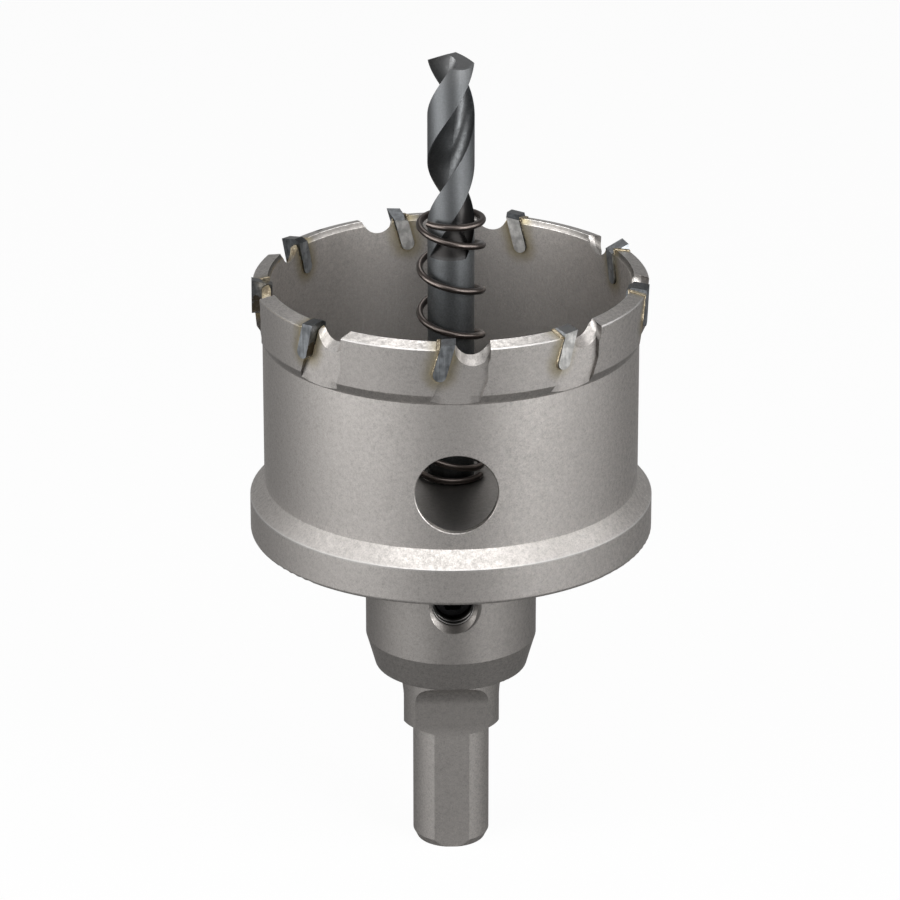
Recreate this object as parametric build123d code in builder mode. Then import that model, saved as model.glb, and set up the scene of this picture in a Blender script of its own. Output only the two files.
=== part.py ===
from math import cos, pi, radians, sin, tan
import os

from build123d import *

os.makedirs("parts", exist_ok=True)

# Hole saw, mm. Z runs up the tool axis from the end of the shank to the drill point.
# The front, -Y, carries the window, the set screw and one flat of the shank.

# Shank and collar
shank_diameter = 10.0
shank_length = 16.4
shank_end_diameter = 9.0
shank_bevel_height = 1.0
shoulder_height = 0.95
collar_diameter = 13.1
collar_length = 7.92

# Three clamping flats
flat_count = 3
flat_distance = 4.44
flat_length = 24.0
flat_runout_radius = 3.1

# Boss under the cup
boss_bottom_diameter = 19.8
boss_cone_height = 4.28
boss_diameter = 22.25
boss_length = 14.9
boss_edge_radius = 0.3

# Cut of the saw, which the flange and the cup follow
cut_diameter = 51.0

# Flange and cup
flange_overhang = 0.5
flange_height = 4.85
flange_edge_radius = 0.5
flange_chamfer_height = 2.05
floor_thickness = 7.25
floor_corner_radius = 0.8
wall_inset = 0.71
wall_length = 19.5

# Thicker band round the rim, turned with side relief
band_chamfer_height = 1.4
band_height = 6.3
band_side_relief = 0.45
band_edge_bevel = 0.12
rim_ridge_rise = 0.45
rim_ridge_inset = 1.9
rim_inner_drop = 0.7

# Window for levering out the core
window_diameter = 10.45
window_rise = 7.05
window_edge_bevel = 0.1

# Carbide tips, unevenly spaced
first_tip_azimuth = -0.35
tip_pitches = (36.8, 42.9, 38.3, 42.4, 37.6, 40.1, 37.7, 40.3, 43.9)
flat_topped = (True, True, True, False, True, False, True, False, True)
tip_thickness = 1.68
tip_lean = 15.0
tip_width = 2.65
tip_outer_clearance = 0.2
tip_inner_clearance = 0.25
tip_height = 0.95
tip_depth = 4.15
tip_corner_drop = 0.2
tip_ridge_rise = 0.05
tip_ridge_inset = 1.9
tip_inner_drop = 0.45
tip_bevel_drop = 0.8
tip_top_relief = 6.0
tip_side_relief = 4.0
braze_gap = 0.1

# Gullet and chip flute ahead of each tip
gullet_radius = 2.2
gullet_depth = 2.5
gullet_length = 4.3
gullet_slope = 42.0
flute_floor_step = 0.06
flute_width = 4.0
flute_upright_height = 3.6
flute_front_lean = 19.0
flute_back_lean = 21.5

# Pilot drill
drill_diameter = 6.0
drill_length = 80.0
drill_seat_depth = 23.0
drill_fit_gap = 0.02
drill_web = 1.1
drill_lead = 28.7
drill_flute_length = 28.5
drill_runout_length = 6.0
drill_point_angle = 135.0
drill_lip_relief = 12.0
drill_lip_azimuth = 73.75
drill_flute_arc = 112.0

# Set screw, M6 x 5 with a hexagon socket
screw_drop = 7.05
screw_diameter = 5.4
screw_length = 5.0
screw_end_bevel = 0.4
screw_fit_gap = 0.02
socket_across_flats = 3.0
socket_depth = 2.4
screw_hole_mouth = 7.2

# Ejector spring, wound left-handed with closed ends
wire_diameter = 0.88
spring_diameter = 8.9
spring_turns = 7.32
spring_pitch = 6.08
spring_end_pitch = 0.9
spring_closed_turns = 0.65
spring_ease_turns = 0.55
spring_start_azimuth = 68.0
spring_points_per_turn = 12
spring_ground_depth = 0.08

# Radii that follow from the cut
cut_radius = cut_diameter / 2
flange_radius = cut_radius + flange_overhang
rim_radius = cut_radius - tip_outer_clearance
band_radius = rim_radius - band_side_relief
wall_radius = band_radius - wall_inset
tip_inner_radius = cut_radius - tip_width
bore_radius = tip_inner_radius + tip_inner_clearance

# Heights that follow from the sizes above
collar_bottom = shank_length + shoulder_height
boss_bottom = collar_bottom + collar_length
boss_cone_top = boss_bottom + boss_cone_height
flange_bottom = boss_cone_top + boss_length
flange_top = flange_bottom + flange_height
wall_bottom = flange_top + flange_chamfer_height
wall_top = wall_bottom + wall_length
band_bottom = wall_top + band_chamfer_height
rim_height = band_bottom + band_height
floor_height = flange_bottom + floor_thickness
window_height = floor_height + window_rise
drill_seat_height = floor_height - drill_seat_depth
drill_point_height = drill_seat_height + drill_length
screw_height = flange_bottom - screw_drop
cutting_height = rim_height + tip_height

tip_azimuths = []
next_azimuth = first_tip_azimuth
for pitch in tip_pitches:
    tip_azimuths.append(next_azimuth)
    next_azimuth += pitch


def outward(azimuth):
    """Direction away from the axis; azimuth 0 is the front and grows toward +X."""
    return Vector(sin(radians(azimuth)), -cos(radians(azimuth)), 0)


def forward(azimuth):
    """Direction in which the tool cuts at this azimuth."""
    return Vector(cos(radians(azimuth)), sin(radians(azimuth)), 0)


def side_plane(azimuth):
    """Upright plane facing outward: x is the cutting direction, y is up."""
    return Plane(origin=(0, 0, 0), x_dir=forward(azimuth), z_dir=outward(azimuth))


def axial_plane(azimuth):
    """Upright plane through the axis: x is outward, y is up, and it faces backward."""
    return Plane(origin=(0, 0, 0), x_dir=outward(azimuth), z_dir=-forward(azimuth))


# The rounded foot of a tip, measured on the side plane from the axis and the shank end
tip_radius = tip_thickness / 2
lean = radians(tip_lean)
foot_height = rim_height - tip_depth + tip_radius
face_length = (cutting_height + tip_radius * sin(lean) - foot_height) / cos(lean)
foot_offset = -tip_radius * cos(lean) - face_length * sin(lean)
tip_foot = Location((foot_offset, foot_height, 0), (0, 0, -tip_lean))
face_line = Location((0, cutting_height, 0), (0, 0, -tip_lean))

# Saw body: shank, collar, boss, flange and cup turned from one bar
with BuildPart() as saw_body:
    with BuildSketch(Plane.XZ):
        with BuildLine():
            Polyline(
                (0, 0),
                (shank_end_diameter / 2, 0),
                (shank_diameter / 2, shank_bevel_height),
                (shank_diameter / 2, shank_length),
                (collar_diameter / 2, collar_bottom),
                (collar_diameter / 2, boss_bottom),
                (boss_bottom_diameter / 2, boss_bottom),
                (boss_diameter / 2, boss_cone_top),
                (boss_diameter / 2, flange_bottom),
                (flange_radius, flange_bottom),
                (flange_radius, flange_top),
                (wall_radius, wall_bottom),
                (wall_radius, wall_top),
                (band_radius, band_bottom),
                (rim_radius, rim_height),
                (rim_radius - rim_ridge_inset, rim_height + rim_ridge_rise),
                (bore_radius, rim_height + rim_ridge_rise - rim_inner_drop),
                (bore_radius, floor_height),
                (0, floor_height),
                close=True,
            )
        make_face()
        fillet(
            vertices().sort_by_distance((boss_bottom_diameter / 2, boss_bottom))[0],
            boss_edge_radius,
        )
        fillet(
            vertices().sort_by_distance((flange_radius, flange_bottom))[0],
            flange_edge_radius,
        )
        chamfer(
            vertices().sort_by_distance((rim_radius, rim_height))[0],
            band_edge_bevel,
        )
        fillet(
            vertices().sort_by_distance((bore_radius, floor_height))[0],
            floor_corner_radius,
        )
    revolve(axis=Axis.Z)

    # Flats on the shank and collar, run out by the milling cutter
    for index in range(flat_count):
        with BuildSketch(axial_plane(index * 360 / flat_count)):
            with Locations((flat_distance, 0)):
                Rectangle(
                    collar_diameter, flat_length * 2, align=(Align.MIN, Align.CENTER)
                )
            fillet(
                vertices().sort_by_distance((flat_distance, flat_length))[0],
                flat_runout_radius,
            )
        extrude(amount=collar_diameter, both=True, mode=Mode.SUBTRACT)

    # Bore for the drill
    with BuildSketch(Plane.XY.offset(drill_seat_height)):
        Circle(drill_diameter / 2 + drill_fit_gap)
    extrude(amount=drill_length, mode=Mode.SUBTRACT)

    # Window
    with BuildSketch(side_plane(0)):
        with Locations((0, window_height)):
            Circle(window_diameter / 2)
    extrude(amount=flange_radius, mode=Mode.SUBTRACT)
    chamfer(edges(Select.LAST).sort_by(Axis.Y)[0], window_edge_bevel)

    # Threaded hole for the set screw, countersunk at the boss
    with BuildSketch(side_plane(0)):
        with Locations((0, screw_height)):
            Circle(screw_diameter / 2 + screw_fit_gap)
    extrude(amount=flange_radius, mode=Mode.SUBTRACT)
    mouth_depth = (screw_hole_mouth - screw_diameter) / 2
    with BuildSketch(side_plane(0).offset(boss_diameter / 2 - mouth_depth)):
        with Locations((0, screw_height)):
            Circle(screw_diameter / 2)
    extrude(amount=mouth_depth * 2, taper=-45, mode=Mode.SUBTRACT)

    for azimuth in tip_azimuths:
        # Gullet through the wall, from the cutting face to the next land, its floor
        # falling outward
        gullet_floor = rim_height - gullet_depth
        with BuildSketch(side_plane(azimuth).offset(wall_radius + flute_floor_step)):
            with Locations((gullet_length - gullet_radius, gullet_floor + gullet_radius)):
                Circle(gullet_radius)
            with Locations((gullet_length, gullet_floor + gullet_radius)):
                Rectangle(
                    gullet_length * 2, gullet_radius, align=(Align.MAX, Align.MIN)
                )
            with Locations(face_line):
                Rectangle(
                    cut_radius,
                    cut_radius,
                    align=(Align.MIN, Align.CENTER),
                    mode=Mode.INTERSECT,
                )
        fall = outward(azimuth) - Vector(0, 0, tan(radians(gullet_slope)))
        extrude(amount=cut_radius / 2, dir=fall, both=True, mode=Mode.SUBTRACT)

        # Chip flute down the outside of the band, leaning back toward its foot
        flute_top = rim_height + rim_ridge_rise
        flute_bend = wall_top + flute_upright_height
        back_slope = tan(radians(flute_back_lean))
        front_slope = tan(radians(flute_front_lean))
        with BuildSketch(side_plane(azimuth).offset(wall_radius + flute_floor_step)):
            with BuildLine():
                Polyline(
                    ((flute_top - cutting_height) * back_slope, flute_top),
                    ((wall_top - cutting_height) * back_slope, wall_top),
                    (flute_width - flute_upright_height * front_slope, wall_top),
                    (flute_width, flute_bend),
                    (flute_width, flute_top),
                    close=True,
                )
            make_face()
        extrude(amount=cut_radius, mode=Mode.SUBTRACT)

        # Slot in which the tip is brazed
        with BuildSketch(side_plane(azimuth).offset(tip_inner_radius - tip_width / 2)):
            with Locations(tip_foot):
                Circle(tip_radius + braze_gap)
                Rectangle(
                    tip_thickness + braze_gap * 2,
                    face_length * 2,
                    align=(Align.CENTER, Align.MIN),
                )
        extrude(amount=cut_radius, mode=Mode.SUBTRACT)


def make_tip(azimuth, ridge):
    """One carbide tip: a leaning bar with a round foot, ground at the top and sides."""
    outer = cut_radius
    inner = tip_inner_radius
    relief = Vector(-1, -tan(radians(tip_top_relief)), -tan(radians(tip_side_relief)))
    back = (
        forward(azimuth) * relief.X
        + Vector(0, 0, 1) * relief.Y
        + outward(azimuth) * relief.Z
    )
    with BuildPart() as tip:
        with BuildSketch(axial_plane(azimuth)):
            with BuildLine():
                if ridge:
                    Polyline(
                        (inner, rim_height - tip_depth - tip_height),
                        (outer, rim_height - tip_depth - tip_height),
                        (outer, cutting_height - tip_corner_drop),
                        (outer - tip_ridge_inset, cutting_height + tip_ridge_rise),
                        (inner, cutting_height + tip_ridge_rise - tip_inner_drop),
                        close=True,
                    )
                else:
                    Polyline(
                        (inner, rim_height - tip_depth - tip_height),
                        (outer, rim_height - tip_depth - tip_height),
                        (outer, cutting_height),
                        (inner, cutting_height - tip_bevel_drop),
                        close=True,
                    )
            make_face()
        extrude(amount=tip_thickness * 2.5, dir=back)
        with BuildSketch(side_plane(azimuth).offset(inner - tip_thickness)):
            with Locations(tip_foot):
                Circle(tip_radius)
                Rectangle(
                    tip_thickness, face_length * 2, align=(Align.CENTER, Align.MIN)
                )
        extrude(amount=outer, mode=Mode.INTERSECT)
    return tip


carbide_tips = [
    make_tip(azimuth, ridge) for azimuth, ridge in zip(tip_azimuths, flat_topped)
]

# Pilot drill: a plain shank with two right-hand flutes ground into its upper end
drill_radius = drill_diameter / 2
flute_bottom = drill_point_height - drill_flute_length
point_slope = tan(radians(90 - drill_point_angle / 2))
lip_height = drill_point_height - drill_radius * point_slope
lip_azimuth = drill_lip_azimuth - drill_web / drill_diameter * 180 / pi
flute_azimuth = lip_azimuth - 360 * (lip_height - flute_bottom) / drill_lead
heel_x = drill_radius * cos(radians(drill_flute_arc))
heel_y = drill_radius * sin(radians(drill_flute_arc))
with BuildPart() as drill_flutes:
    for turned in (0, 180):
        flute_plane = Plane(
            origin=(0, 0, flute_bottom),
            x_dir=outward(flute_azimuth + turned),
            z_dir=(0, 0, 1),
        )
        with BuildSketch(flute_plane, mode=Mode.PRIVATE) as flute:
            with BuildLine():
                Line((drill_diameter, drill_web / 2), (0, drill_web / 2))
                TangentArc((0, drill_web / 2), (heel_x, heel_y), tangent=(-1, 0))
                Polyline(
                    (heel_x, heel_y),
                    (heel_x * 2, heel_y * 2),
                    (drill_diameter, heel_y * 2),
                    (drill_diameter, drill_web / 2),
                )
            make_face()
        add(
            Solid.extrude_linear_with_rotation(
                flute.sketch.face(),
                (0, 0, flute_bottom),
                (0, 0, drill_flute_length + drill_web),
                360 * (drill_flute_length + drill_web) / drill_lead,
            )
        )
    # Metal left where the grinding wheel lifted out
    with Locations((0, 0, flute_bottom)):
        Cone(
            drill_radius + drill_web,
            drill_web / 2,
            drill_runout_length,
            align=(Align.CENTER, Align.CENTER, Align.MIN),
            mode=Mode.SUBTRACT,
        )

with BuildPart() as pilot_drill:
    with BuildSketch(Plane.XY.offset(drill_seat_height)):
        Circle(drill_radius)
    extrude(amount=drill_length)
    add(drill_flutes.part, mode=Mode.SUBTRACT)
    # The two flanks of the point, sloping down behind each lip
    for turned in (0, 180):
        flank = (
            outward(lip_azimuth + turned) * point_slope
            - forward(lip_azimuth + turned) * tan(radians(drill_lip_relief))
            + Vector(0, 0, 1)
        )
        split(
            bisect_by=Plane(origin=(0, 0, drill_point_height), z_dir=flank),
            keep=Keep.BOTTOM,
        )

# Set screw: bears on the drill at its inner end, socket at its outer end
with BuildPart() as set_screw:
    with BuildSketch(side_plane(0).offset(drill_radius)):
        with Locations((0, screw_height)):
            Circle(screw_diameter / 2)
    extrude(amount=screw_length)
    chamfer(edges().filter_by(GeomType.CIRCLE), screw_end_bevel)
    with BuildSketch(side_plane(0).offset(drill_radius + screw_length - socket_depth)):
        with Locations((0, screw_height)):
            RegularPolygon(socket_across_flats / 2, 6, major_radius=False)
    extrude(amount=socket_depth, mode=Mode.SUBTRACT)

# Ejector spring: stands on the cup floor round the drill, its lower end ground flat
spring_radius = (spring_diameter - wire_diameter) / 2
spring_steps = round(spring_turns * spring_points_per_turn)
spring_points = []
wire_height = floor_height + wire_diameter / 2 - spring_ground_depth
for step in range(spring_steps + 1):
    turns = spring_turns * step / spring_steps
    wire_azimuth = spring_start_azimuth - 360 * turns
    spring_points.append(
        outward(wire_azimuth) * spring_radius + Vector(0, 0, wire_height)
    )
    from_end = min(turns, spring_turns - turns) - spring_closed_turns
    eased = min(max(from_end / spring_ease_turns, 0), 1)
    opening = eased * eased * (3 - 2 * eased)
    local_pitch = spring_end_pitch + (spring_pitch - spring_end_pitch) * opening
    wire_height += local_pitch * spring_turns / spring_steps
with BuildPart() as ejector_spring:
    with BuildLine() as wire_path:
        Spline(*spring_points)
    with BuildSketch(wire_path.line ^ 0):
        Circle(wire_diameter / 2)
    sweep(path=wire_path.line)
    split(bisect_by=Plane.XY.offset(floor_height), keep=Keep.TOP)

saw_body.part.label = "saw_body"
export_step(saw_body.part, "parts/saw_body.step")
for number, tip in enumerate(carbide_tips, start=1):
    tip.part.label = f"carbide_tip_{number}"
    export_step(tip.part, f"parts/carbide_tip_{number}.step")
pilot_drill.part.label = "pilot_drill"
export_step(pilot_drill.part, "parts/pilot_drill.step")
set_screw.part.label = "set_screw"
export_step(set_screw.part, "parts/set_screw.step")
ejector_spring.part.label = "ejector_spring"
export_step(ejector_spring.part, "parts/ejector_spring.step")
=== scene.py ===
from collections import namedtuple
from math import cos, radians, sin, tan

import bmesh
import bpy
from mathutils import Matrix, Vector


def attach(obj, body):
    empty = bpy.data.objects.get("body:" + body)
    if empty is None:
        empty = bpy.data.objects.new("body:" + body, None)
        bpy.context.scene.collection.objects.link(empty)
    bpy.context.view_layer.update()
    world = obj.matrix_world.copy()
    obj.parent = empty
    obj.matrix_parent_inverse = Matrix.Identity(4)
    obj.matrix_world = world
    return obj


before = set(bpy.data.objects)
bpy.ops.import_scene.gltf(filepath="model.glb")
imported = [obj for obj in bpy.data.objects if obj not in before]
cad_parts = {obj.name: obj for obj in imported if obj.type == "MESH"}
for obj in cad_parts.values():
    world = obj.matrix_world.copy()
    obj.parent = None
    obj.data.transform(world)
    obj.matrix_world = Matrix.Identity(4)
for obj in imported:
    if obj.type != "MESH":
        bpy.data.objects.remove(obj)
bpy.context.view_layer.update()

MM = 0.001


def mm(*lengths):
    """Lengths in millimetres, given in metres."""
    return tuple(length * MM for length in lengths)


def outward(azimuth):
    """Away from the axis; azimuth 0 is the front and grows toward +X."""
    return Vector((sin(radians(azimuth)), -cos(radians(azimuth)), 0))


def forward(azimuth):
    """The way the saw cuts, at a right angle to outward."""
    return Vector((cos(radians(azimuth)), sin(radians(azimuth)), 0))


def rgb(red, green, blue):
    return (red, green, blue, 1.0)


# Heights and radii of the turned body, as in the solids
CUTTING_HEIGHT = 79.5 * MM
LAND_TOP = 79.0 * MM
RIM_HEIGHT = 78.55 * MM
RIM_RADIUS = 25.3 * MM
RIDGE_RADIUS = 23.4 * MM
BORE_RADIUS = 23.1 * MM
BAND_BOTTOM = 72.25 * MM
BAND_RADIUS = 24.85 * MM
WALL_RADIUS = 24.14 * MM
FLANGE_RADIUS = 26.0 * MM
FLANGE_TOP = 49.3 * MM
WINDOW_HEIGHT = 58.75 * MM
WINDOW_RADIUS = 5.225 * MM

# The set screw's tapped hole
SCREW_HEIGHT = 37.4 * MM
SCREW_HOLE_RADIUS = 2.72 * MM
THREAD_START = -10.35 * MM
THREAD_PITCH = 1.0 * MM
THREAD_TURNS = 2
THREAD_STEPS = 48
RIDGE_HEIGHT = 0.3 * MM

# The nine tips, their rounded feet and the slots they are brazed into
TIP_AZIMUTHS = (-0.35, 36.45, 79.35, 117.65, 160.05, 197.65, 237.75, 275.45, 315.75)
TIP_LEAN = radians(15)
TIP_RADIUS = 0.84 * MM
FOOT_HEIGHT = 75.24 * MM
FOOT_OFFSET = -2.011 * MM
SLOT_RADIUS = 0.9 * MM
GULLET_HEIGHT = 76.05 * MM
GULLET_SLOPE = radians(42)
FLUTE_RADIUS = 24.2 * MM
FLUTE_LEAN = radians(21.5)

# The braze: a wall in the gap of the slot, with a flap over the land behind the tip
BRAZE_THICKNESS = 0.17 * MM
BRAZE_PROUD = 0.04 * MM
BRAZE_TUCK = 0.03 * MM
BRAZE_INSIDE = 22.98 * MM
BRAZE_OUTSIDE = 25.5 * MM
BRAZE_LEG = 4.4 * MM
BRAZE_OVER_LAND = 0.1 * MM
FLAP_REACH = 0.45 * MM
FLAP_DROP = 0.12 * MM
BRAZE_VOXEL = 0.07 * MM
LUMP_SIZE = 0.5 * MM
LUMP_HEIGHT = 0.12 * MM

# Colours of the steel body, of what lies on it, and of the light and shade painted on it
STEEL_COLOR = rgb(0.505, 0.481, 0.460)
WORN_COLOR = rgb(0.66, 0.65, 0.64)
CUP_LIGHT_COLOR = rgb(0.86, 0.83, 0.80)
SHADE_COLOR = rgb(0.06, 0.06, 0.06)
DEEP_SHADE_COLOR = rgb(0.05, 0.045, 0.04)
BEVEL_SHADE_COLOR = rgb(0.08, 0.075, 0.07)
FLUTE_AND_SINK_SHADE_COLOR = rgb(0.06, 0.055, 0.05)
HOLE_SHADE_COLOR = rgb(0.05, 0.048, 0.045)
TAN_SCALE_COLOR = rgb(0.27, 0.215, 0.13)
HEAT_TINT_COLOR = rgb(0.29, 0.245, 0.14)
FLUX_COLOR = rgb(0.12, 0.095, 0.055)
BROWN_FLUX_COLOR = rgb(0.10, 0.075, 0.045)
NICK_SHADE_COLOR = rgb(0.02, 0.02, 0.02)

# Colours of the tips, the braze, the drill, the spring and the screw, with painted light and
# shade on the tips and the drill
CARBIDE_COLOR = rgb(0.27, 0.285, 0.30)
LIT_CARBIDE_COLOR = rgb(0.56, 0.555, 0.54)
TOP_SHADE_COLOR = rgb(0.04, 0.04, 0.04)
RUN_BRAZE_COLOR = rgb(0.115, 0.088, 0.05)
BRAZE_COLOR = rgb(0.46, 0.392, 0.28)
BRAZE_FLUX_COLOR = rgb(0.16, 0.12, 0.07)
OXIDE_COLOR = rgb(0.142, 0.150, 0.156)
RUBBED_OXIDE_COLOR = rgb(0.30, 0.31, 0.32)
DRILL_FLUTE_SHADE_COLOR = rgb(0.045, 0.043, 0.042)
FLUTE_END_SHADE_COLOR = rgb(0.03, 0.028, 0.027)
DRILL_POINT_COLOR = rgb(0.34, 0.34, 0.34)
WIRE_COLOR = rgb(0.115, 0.098, 0.09)
SCREW_COLOR = rgb(0.035, 0.035, 0.037)
OILED_THREAD_COLOR = rgb(0.16, 0.155, 0.15)

# Tips whose sides carry a painted highlight, paler than the others
LIT_TIPS = {2: "lit_carbide", 5: "lit_carbide_pale_top", 6: "lit_carbide_pale_top"}

# Heights over which the finishes of the body, and the light and shade painted on it, change
BOSS_SHADE_BOTTOM = mm(15.5, 18.0)
BOSS_SHADE_TOP = mm(42.0, 44.4)
CUP_SHADE_TOP = mm(57.0, 61.5)
CUP_LIGHT_TOP = mm(60.0, 77.0)
FLUTE_BOTTOM = mm(70.7, 70.9)
UNDERSIDE_BOTTOM = mm(70.9, 71.1)
UNDERSIDE_TOP = mm(72.0, 72.25)
GULLET_BOTTOM = mm(75.0, 75.6)
INNER_BEVEL_BOTTOM = 78.1 * MM
INNER_BEVEL_MIDDLE = mm(78.4, 78.7)
LAND_BOTTOM = mm(78.4, 78.6)

# Radii, and distances from the screw's axis and the window's, over which they change
BORE_MARGIN = 0.2 * MM
BEVEL_MARGIN = 0.02 * MM
BAND_START = (WALL_RADIUS + 0.1 * MM, WALL_RADIUS + 0.16 * MM)
HOLE_SHADE_EDGE = (SCREW_HOLE_RADIUS + 0.02 * MM, SCREW_HOLE_RADIUS + 0.2 * MM)
COUNTERSINK_EDGE = mm(3.55, 3.7)
WINDOW_EDGE = (WINDOW_RADIUS + 0.1 * MM, WINDOW_RADIUS + 0.12 * MM)

# Places along Y, then along X, over which they change
COUNTERSINK_FRONT = mm(-11.1, -11.0)
HOLE_SHADE_FRONT = mm(-10.6, -10.0)
COUNTERSINK_SHADE = mm(-2.8, 0.5)
WINDOW_SHADE = mm(-2.0, 3.0)
LEFT_SIDE = mm(-20.0, -18.5)

# How far the heat tint and the flux reach from the tips, with a ragged edge
TINT_REACH = mm(0.1, 2.1)
FLUX_REACH = mm(0.1, 0.6)
RAGGED_EDGE = 0.9 * MM

# Radii and heights over which the finish of the drill, and the shade painted on it, change
DRILL_LANDS = mm(2.9, 2.98)
DRILL_FLUTES = mm(2.7, 2.85)
RUBBED_LANDS_BOTTOM = mm(78.0, 92.0)
DARK_FLUTES_TOP = mm(84.0, 90.0)
FLUTE_ENDS_TOP = mm(88.0, 92.0)
DRILL_POINT_BOTTOM = mm(104.0, 108.0)

# Heights over which the braze that ran down the cutting faces thins out
RUN_BRAZE_TOP = mm(75.5, 78.6)

# How much of each colour lies on the steel, at most, or from one end of a fade to the other
CUP_LIGHT_SHARE = 0.5
SHADE_SHARE = 0.76
OVERHANG_SHADE_SHARE = 0.24
BEVEL_SHARES = (0.6, 0.88)
FLUTE_WALL_SHADE_SHARE = 0.7
COUNTERSINK_SHARE = 0.72
WINDOW_EDGE_SHARES = (0.1, 0.75)
TINT_SHARE = 0.72
FLUX_SHARE = 0.75
BARE_WALL_SHARE = 0.75
SPECKLE_SHARES = (0.35, 0.85)

# How much of the flux, and of the brown, is a crust that isn't metal
FLUX_CRUST = 0.7
BROWN_CRUST = 0.8

# How much of each colour lies on the tips, the braze and the drill
RUN_BRAZE_SHARE = 0.85
BRAZE_FLUX_SHARE = 0.75
RUBBED_OXIDE_SHARE = 0.38
DRILL_FLUTE_SHADE_SHARE = 0.42
DARK_FLUTE_GAINS = (2.0, 1.1)
FLUTE_END_SHARE = 0.85
DRILL_POINT_SHARE = 0.35

# How far faces turn toward a direction, from where a mask starts to where it is full
FLUTE_WALL_TURN = (0.6, 0.85)
GULLET_FLOOR_TURN = (0.15, 0.4)
GULLET_WALL_TURN = (0.25, 0.5)
TIP_SIDE_TURN = (0.6, 0.9)
TIP_TOP_TURN = (0.55, 0.8)
CUTTING_FACE_TURN = (0.7, 0.9)
FLUTE_END_TURN = (0.1, 0.3)

# Values of a noise between which its patches show
SPECKLE_CUT = (0.4, 0.6)
STREAK_CUT = (0.3, 0.7)
CLOUD_CUT = (0.35, 0.65)
RUN_BRAZE_CUT = (0.55, 0.68)
BRAZE_FLUX_CUT = (0.50, 0.64)

# Darkest and palest of the carbide's clouds, and what height adds to the braze on it
CLOUD_TONES = (0.75, 1.25)
RUN_BRAZE_GAINS = (0.25, -0.15)

# How much smoother the lands are than the wall
LAND_SMOOTHING = 0.1

# Turned edges that are rubbed bright: radius, height, reach
WORN_EDGES = (
    (FLANGE_RADIUS, FLANGE_TOP, 0.25 * MM),
    (RIM_RADIUS, RIM_HEIGHT, 0.25 * MM),
    (RIDGE_RADIUS, LAND_TOP, 0.08 * MM),
)
WORN_SHARE = 0.6

# A nick on the outer edge of the rim, behind: a dent in the relief, dark with painted shade
NICK_PLACE = outward(222) * 25.2 * MM + Vector((0, 0, RIM_HEIGHT))
NICK_SIZE = mm(0.9, 0.9, 0.6)
NICK_RELIEF = -40.0

# Noise scales, in waves to the metre
FINE_GRAIN = 5200
COARSE_GRAIN = 1700
CLOUDING = 120
RUBBED_PATCHES = 700
RAGGED_PATCHES = 900
GULLET_SPECKLE = 2200
GRINDING_STREAKS = 4200
CARBIDE_CLOUDING = 900
RUN_BRAZE_PATCHES = 1100
BRAZE_PATCHES = 1500

# The photograph's camera, with a long lens, fitted to the turned outline
CAMERA_AZIMUTH = -1.75
CAMERA_PITCH = radians(22.313)
CAMERA_DISTANCE = 675.413 * MM
AIM_HEIGHT = 54.95 * MM
AIM_SHIFT = 0.122 * MM
FOCAL_PIXELS = 5226.955
PHOTO_WIDTH = 900
SENSOR_WIDTH = 36

# How strongly the white background and the floor behind show in the metal, and light it
WORLD_SHINE = 0.28
WORLD_LIGHT = 0.02
FLOOR_SHINE = 0.8
FLOOR_SHINE_START = (0.3, 0.9)

# How much of the floor is plain white to the camera and in the metal; the rest has shadows
FLOOR_WHITE_SEEN = 0.95
FLOOR_WHITE_MIRRORED = 0.8
FLOOR_SIZE = 8
FLOOR_COLOR = rgb(0.8, 0.8, 0.8)

# Softboxes: name, place, width, height, watts; all face the middle of the saw
LAMP_AIM = Vector((0, 0, 0.055))
LAMPS = (
    ("top_front_light", (0, -0.37, 0.65), 0.8, 0.22, 2.1),
    ("top_back_light", (0, 0.42, 0.60), 0.22, 0.20, 0.5),
    ("left_light", (-0.50, -0.27, 0.20), 0.35, 0.38, 2.3),
    ("left_front_light", (-0.34, -0.46, 0.20), 0.22, 0.38, 1.1),
    ("left_back_light", (-0.56, -0.06, 0.20), 0.22, 0.38, 0.8),
    ("right_light", (0.46, -0.33, 0.20), 0.30, 0.38, 1.35),
    ("right_front_light", (0.36, -0.44, 0.20), 0.22, 0.38, 1.6),
    ("right_back_light", (0.56, -0.06, 0.20), 0.22, 0.38, 1.1),
)


# Shader nodes
def feed(tree, socket, operand):
    """Link a socket to another socket, or give it a number, a vector or a colour."""
    if isinstance(operand, bpy.types.NodeSocket):
        tree.links.new(operand, socket)
    else:
        socket.default_value = operand


def math_node(tree, operation, *operands):
    node = tree.nodes.new("ShaderNodeMath")
    node.operation = operation
    for socket, operand in zip(node.inputs, operands):
        feed(tree, socket, operand)
    return node.outputs[0]


def vector_node(tree, operation, *operands):
    node = tree.nodes.new("ShaderNodeVectorMath")
    node.operation = operation
    for socket, operand in zip(node.inputs, operands):
        feed(tree, socket, operand)
    gives_number = operation in ("DOT_PRODUCT", "LENGTH")
    return node.outputs["Value" if gives_number else "Vector"]


def product(tree, first, *others):
    for other in others:
        first = math_node(tree, "MULTIPLY", first, other)
    return first


def sum_of_products(tree, first, factor, second, other_factor):
    return math_node(tree, "MULTIPLY_ADD", second, other_factor, product(tree, first, factor))


def diagonal(tree, first, second):
    """Length of the line whose two sides are given."""
    return math_node(tree, "SQRT", sum_of_products(tree, first, first, second, second))


def axes(tree, vector):
    split = tree.nodes.new("ShaderNodeSeparateXYZ")
    tree.links.new(vector, split.inputs[0])
    return split.outputs


def noise_node(tree, vector, scale, detail=3.0, roughness=0.6):
    node = tree.nodes.new("ShaderNodeTexNoise")
    node.inputs["Scale"].default_value = scale
    node.inputs["Detail"].default_value = detail
    node.inputs["Roughness"].default_value = roughness
    tree.links.new(vector, node.inputs["Vector"])
    return node.outputs["Fac"]


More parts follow.
